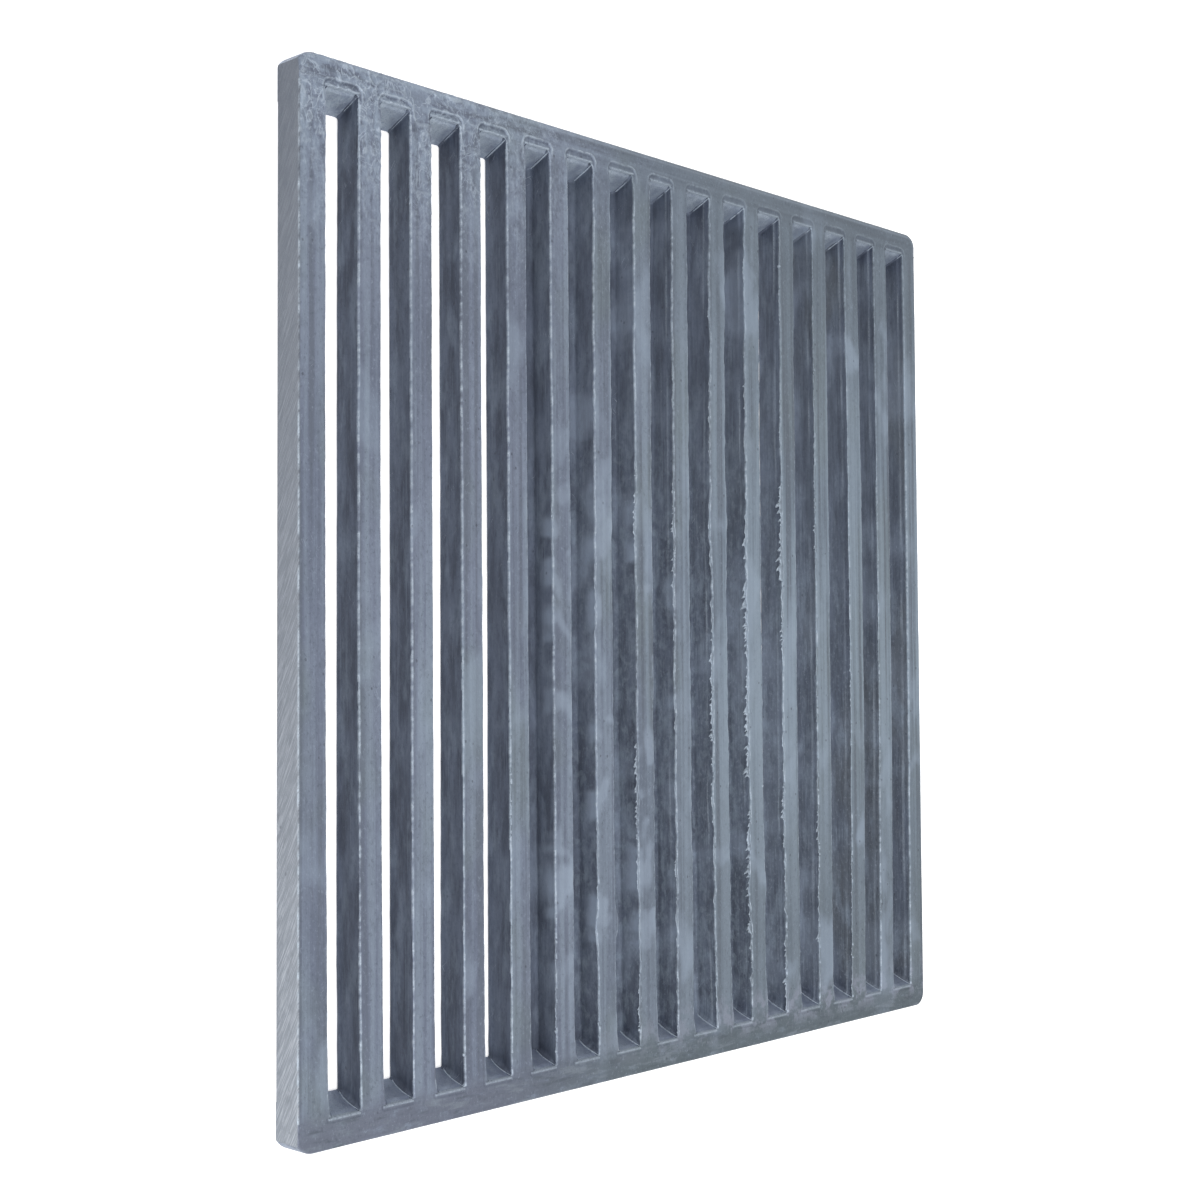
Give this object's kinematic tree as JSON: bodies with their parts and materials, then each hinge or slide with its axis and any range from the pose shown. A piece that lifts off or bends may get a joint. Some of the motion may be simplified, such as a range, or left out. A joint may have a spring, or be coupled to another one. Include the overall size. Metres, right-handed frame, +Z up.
{
  "type": "slotted metal grate",
  "caption": "Square flat cast-metal grate: a plain rim of rails and stiles around parallel bars, with long through slots whose end walls slope inward.",
  "frame": {"origin": "middle of the underside, on which the panel lies flat", "axes": "+X across the bars, +Y along the bars towards the head rail, +Z up to the upper face; the picture looks at the upper face with +Y upright"},
  "size_m": [0.3, 0.3, 0.01],
  "materials": {
    "cast_metal": "as-cast blue-grey skin with whitish bloom, satin; ground bare on the left edge"
  },
  "bodies": {
    "root": {"head_rail": "cast_metal", "foot_rail": "cast_metal", "left_stile": "cast_metal", "right_stile": "cast_metal", "bar_01": "cast_metal", "bar_02": "cast_metal", "bar_03": "cast_metal", "bar_04": "cast_metal", "bar_05": "cast_metal", "bar_06": "cast_metal", "bar_07": "cast_metal", "bar_08": "cast_metal", "bar_09": "cast_metal", "bar_10": "cast_metal", "bar_11": "cast_metal", "bar_12": "cast_metal", "bar_13": "cast_metal", "bar_14": "cast_metal"}
  },
  "joints": []
}
